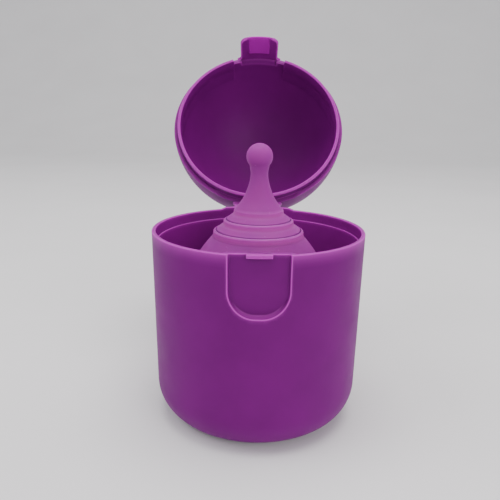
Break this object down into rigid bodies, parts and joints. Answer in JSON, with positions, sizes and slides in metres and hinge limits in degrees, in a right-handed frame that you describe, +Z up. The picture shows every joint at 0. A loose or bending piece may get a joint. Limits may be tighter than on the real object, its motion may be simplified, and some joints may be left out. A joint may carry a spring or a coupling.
{
  "type": "menstrual cup with flip-lid case",
  "caption": "Silicone menstrual cup with grip rings and a ball-ended stem, standing mouth down in its round-bottomed plastic case with a domed flip lid and snap tab",
  "frame": {"origin": "centre of the case's flat foot", "axes": "+Z up along the case's axis, -Y towards the latch and thumb recess, +Y towards the hinge, +X to the right seen from the front"},
  "size_m": [0.06, 0.111, 0.1122],
  "materials": {
    "case_plastic": "satin moulded polypropylene",
    "cup_silicone": "translucent matte silicone"
  },
  "bodies": {
    "case": {"case_base": "case_plastic", "hinge_web": "case_plastic"},
    "lid": {"lid": "case_plastic"},
    "latch": {"latch_tab": "case_plastic"},
    "cup": {"silicone_cup": "cup_silicone"}
  },
  "joints": [
    {"name": "lid_hinge", "type": "hinge", "parent": "case", "child": "lid", "pos_m": [0, 0.0315, 0.055], "axis": [1, 0, 0], "range_deg": [0, 124.4], "deforming": ["hinge_web"]},
    {"name": "latch_flex", "type": "hinge", "parent": "lid", "child": "latch", "pos_m": [0, 0.06694, 0.10605], "axis": [-1, 0, 0], "range_deg": [0, 8], "stiffness_Nm_per_rad": 0.3},
    {"name": "cup_lift", "type": "slide", "parent": "case", "child": "cup", "axis": [0, 0, 1], "range_m": [0, 0.09]}
  ]
}
